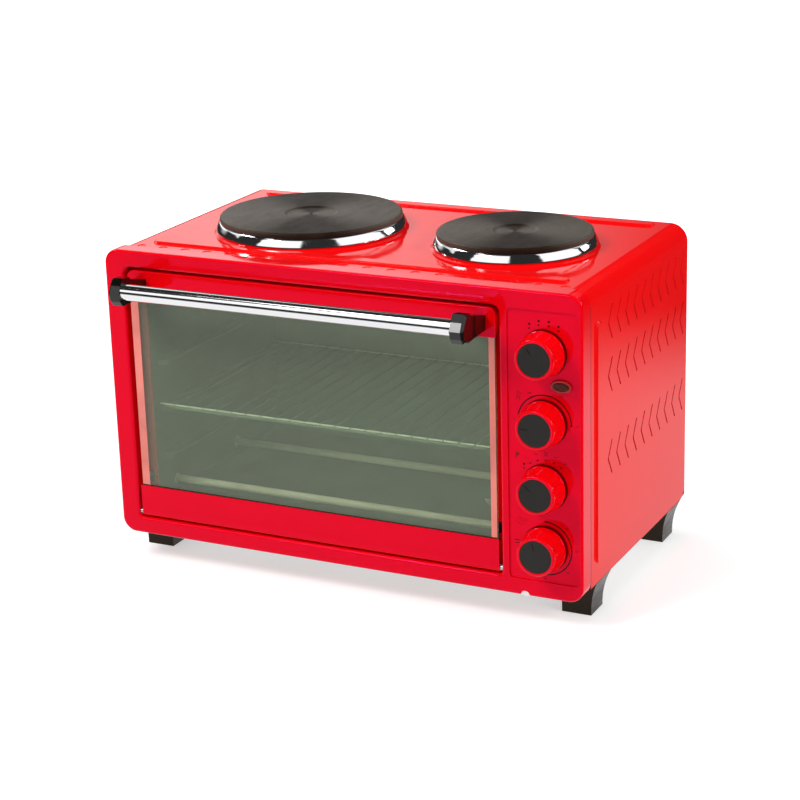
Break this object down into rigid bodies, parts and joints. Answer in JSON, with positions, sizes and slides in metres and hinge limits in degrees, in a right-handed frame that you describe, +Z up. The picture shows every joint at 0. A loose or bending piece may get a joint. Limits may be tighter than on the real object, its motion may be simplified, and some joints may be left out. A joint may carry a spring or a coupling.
{
  "type": "mini oven with hotplates",
  "caption": "Free-standing benchtop mini oven with a drop-down glass door, rotary controls and two round hotplates on its top.",
  "frame": {"origin": "middle of the footprint of the whole object, on the surface it stands on", "axes": "+X to the right seen from the front, -Y to the front where the door is, +Z up"},
  "size_m": [0.512, 0.3452, 0.3473],
  "materials": {
    "red_enamel": "gloss",
    "door_red": "gloss",
    "door_pane": "clear with a grey-green tint",
    "bright_chrome": "polished",
    "plate_iron": "turned, black-brown coating",
    "aluminised_steel": "satin",
    "rack_wire": "bright",
    "heater_sheath": "dull",
    "zinc_plate": "zinc-plated",
    "ceramic": "glazed ceramic, stands in for ceramic",
    "red_plastic": "gloss",
    "black_inset": "matt",
    "black_gloss": "gloss",
    "foot_black": "matt",
    "control_housing": "moulded",
    "lamp_red": "dark clear red"
  },
  "bodies": {
    "casing": {"fascia_frame": "red_enamel", "outer_cover": "red_enamel", "base_plate": "aluminised_steel", "rear_panel": "red_enamel", "cord_inlet": "foot_black", "case_screws": "zinc_plate", "cavity_left_wall": "aluminised_steel", "cavity_right_wall": "aluminised_steel", "cavity_ceiling": "aluminised_steel", "cavity_floor": "aluminised_steel", "cavity_back": "aluminised_steel", "cavity_front_frame": "red_enamel", "heater_insulators": "ceramic", "terminal_block": "ceramic", "control_heat_shield": "aluminised_steel", "wire_rack": "rack_wire", "crumb_tray": "aluminised_steel", "hinge_brackets": "zinc_plate", "door_hinge_pins": "zinc_plate", "door_springs": "zinc_plate", "hotplate_switch": "control_housing", "thermostat": "control_housing", "function_switch": "control_housing", "timer": "zinc_plate", "lamp_holder": "red_plastic", "lamp_lens": "lamp_red", "hotplate_clamps": "zinc_plate", "lower_heater_front": "heater_sheath", "lower_heater_rear": "heater_sheath", "upper_heater_front": "heater_sheath", "upper_heater_rear": "heater_sheath", "hotplate_left": "plate_iron", "hotplate_ring_left": "bright_chrome", "foot_front_left": "foot_black", "foot_rear_left": "foot_black", "hotplate_right": "plate_iron", "hotplate_ring_right": "bright_chrome", "foot_front_right": "foot_black", "foot_rear_right": "foot_black"},
    "door": {"door_top_rail": "door_red", "door_bottom_rail": "door_red", "door_glass": "door_pane", "door_arm_left": "zinc_plate", "door_arm_right": "zinc_plate", "handle_bar": "bright_chrome", "handle_bracket_left": "black_gloss", "handle_bracket_right": "black_gloss", "handle_screws": "zinc_plate"},
    "control_hotplates": {"knob_hotplates": "red_plastic", "knob_cap_hotplates": "black_inset", "spindle_hotplates": "zinc_plate"},
    "control_thermostat": {"knob_thermostat": "red_plastic", "knob_cap_thermostat": "black_inset", "spindle_thermostat": "zinc_plate"},
    "control_function": {"knob_function": "red_plastic", "knob_cap_function": "black_inset", "spindle_function": "zinc_plate"},
    "control_timer": {"knob_timer": "red_plastic", "knob_cap_timer": "black_inset", "spindle_timer": "zinc_plate"}
  },
  "joints": [
    {"name": "door_hinge", "type": "hinge", "parent": "casing", "child": "door", "pos_m": [-0.03065, -0.11705, 0.0536], "axis": [1, 0, 0], "range_deg": [0, 88], "stiffness_Nm_per_rad": 0.5, "springref_deg": -34.38},
    {"name": "knob_hotplates_turn", "type": "hinge", "parent": "casing", "child": "control_hotplates", "pos_m": [0.2168, -0.13265, 0.273], "axis": [0, 1, 0], "range_deg": [0, 65.4]},
    {"name": "knob_thermostat_turn", "type": "hinge", "parent": "casing", "child": "control_thermostat", "pos_m": [0.2168, -0.13265, 0.206], "axis": [0, 1, 0], "range_deg": [0, 180]},
    {"name": "knob_function_turn", "type": "hinge", "parent": "casing", "child": "control_function", "pos_m": [0.2168, -0.13265, 0.1426], "axis": [0, 1, 0], "range_deg": [0, 89]},
    {"name": "knob_timer_turn", "type": "hinge", "parent": "casing", "child": "control_timer", "pos_m": [0.2168, -0.13265, 0.0818], "axis": [0, 1, 0], "range_deg": [-70, 194]}
  ]
}
